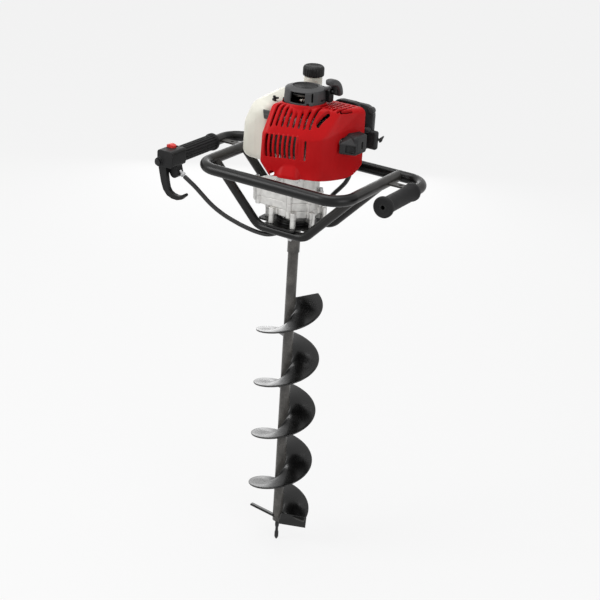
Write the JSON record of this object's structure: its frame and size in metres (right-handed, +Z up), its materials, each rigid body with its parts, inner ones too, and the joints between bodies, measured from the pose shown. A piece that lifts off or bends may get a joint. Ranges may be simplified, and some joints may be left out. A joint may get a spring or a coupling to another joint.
{
  "type": "earth auger",
  "caption": "Hand-held petrol earth auger: shrouded engine and reduction gear on a tubular frame with side handles, driving a spiral drill bit with cutting blades.",
  "frame": {"origin": "flat end of the pilot point, on the drill axis", "axes": "+Z up along the drill axis, +X to the cylinder head, -Y to the muffler side"},
  "size_m": [0.5679, 0.2778, 1.1725],
  "materials": {
    "black_paint": "gloss black enamel",
    "steel": "machined steel",
    "cast_alloy": "cast aluminium, as cast",
    "grip_rubber": "matt rubber",
    "black_plastic": "black moulded plastic",
    "cable_sheath": "satin black sheath",
    "grey_plastic": "dark grey moulded plastic",
    "red_plastic": "gloss red moulded plastic",
    "tank_plastic": "milky white blow-moulded plastic",
    "ceramic": "glazed white ceramic",
    "rope": "braided cord",
    "foam": "filter foam"
  },
  "bodies": {
    "frame": {"bearings": "steel", "output_seal": "grip_rubber", "gear_case_lower": "cast_alloy", "gear_case_middle": "cast_alloy", "gear_case_upper": "cast_alloy", "case_bolts": "steel", "base_plate": "black_paint", "leg_front": "black_paint", "leg_rear": "black_paint", "hoop_tube": "black_paint", "handlebar_tube": "black_paint", "brace_left": "black_paint", "brace_right": "black_paint", "grip_left": "grip_rubber", "grip_right": "grip_rubber", "throttle_housing": "black_plastic", "lever_pin": "steel", "cable_adjuster": "steel", "throttle_cable": "cable_sheath", "crankcase": "cast_alloy", "engine_cylinder": "cast_alloy", "spark_plug": "ceramic", "plug_cover": "black_plastic", "muffler": "steel", "shroud": "red_plastic", "starter_housing": "grey_plastic", "starter_disc": "black_plastic", "recoil_spring": "steel", "rope_guide": "black_plastic", "fuel_tank": "tank_plastic", "tank_bracket": "steel", "fuel_hose": "cable_sheath", "carburettor": "cast_alloy", "filter_base": "black_plastic", "filter_element": "foam", "filter_cover": "grey_plastic"},
    "auger": {"pilot_point": "black_paint", "auger_shaft": "black_paint", "auger_flight": "black_paint", "cutting_blade": "black_paint", "wing_blade": "black_paint", "coupling_sleeve": "black_paint", "coupling_bolt": "steel", "output_shaft": "steel", "output_gear": "steel"},
    "intermediate": {"intermediate_shaft": "steel", "intermediate_gear": "steel"},
    "input": {"input_pinion": "steel", "clutch_drum": "steel"},
    "crank": {"crankshaft": "steel", "flywheel_fan": "cast_alloy", "clutch_shoes": "steel"},
    "pull_handle": {"starter_handle": "grey_plastic", "starter_rope": "rope"},
    "pulley": {"starter_pulley": "steel"},
    "lever": {"throttle_lever": "black_plastic"},
    "cam": {"throttle_cam": "cast_alloy"},
    "switch": {"stop_switch": "red_plastic"},
    "cap": {"tank_cap": "black_plastic"},
    "choke": {"choke_lever": "black_plastic"}
  },
  "joints": [
    {"name": "auger_spin", "type": "hinge", "parent": "frame", "child": "auger", "pos_m": [0, 0, 0.803], "axis": [0, 0, 1], "continuous": true},
    {"name": "intermediate_spin", "type": "hinge", "parent": "frame", "child": "intermediate", "pos_m": [-0.0525, 0, 0.883], "axis": [0, 0, 1], "continuous": true},
    {"name": "input_spin", "type": "hinge", "parent": "frame", "child": "input", "pos_m": [0, 0, 0.909], "axis": [0, 0, 1], "continuous": true},
    {"name": "crank_spin", "type": "hinge", "parent": "frame", "child": "crank", "pos_m": [0, 0, 1.02], "axis": [0, 0, 1], "continuous": true},
    {"name": "starter_pull", "type": "slide", "parent": "frame", "child": "pull_handle", "axis": [1, 0, 0], "range_m": [0, 0.6]},
    {"name": "pulley_spin", "type": "hinge", "parent": "frame", "child": "pulley", "pos_m": [0, 0, 1.138], "axis": [0, 0, 1], "range_deg": [-1160, 5]},
    {"name": "throttle_squeeze", "type": "hinge", "parent": "frame", "child": "lever", "pos_m": [-0.276, -0.124, 0.948], "axis": [0, -1, 0], "range_deg": [0, 22]},
    {"name": "throttle_open", "type": "hinge", "parent": "frame", "child": "cam", "pos_m": [0.08, 0.054, 1.018], "axis": [0, 0, -1], "range_deg": [0, 75.5]},
    {"name": "stop_slide", "type": "slide", "parent": "frame", "child": "switch", "axis": [0, 1, 0], "range_m": [0, 0.005]},
    {"name": "cap_turn", "type": "hinge", "parent": "frame", "child": "cap", "pos_m": [-0.03, 0.088, 1.156], "axis": [0, 0, 1], "range_deg": [0, 300]},
    {"name": "choke_turn", "type": "hinge", "parent": "frame", "child": "choke", "pos_m": [0.1528, 0.082, 1.04], "axis": [1, 0, 0], "range_deg": [0, 60]}
  ],
  "couplings": [
    {"joint": "intermediate_spin", "follows": "auger_spin", "ratio": -4.8333},
    {"joint": "input_spin", "follows": "auger_spin", "ratio": 29},
    {"joint": "pulley_spin", "follows": "starter_pull", "rad_per_m": -33.613},
    {"joint": "throttle_open", "follows": "throttle_squeeze", "ratio": 3.4091}
  ]
}
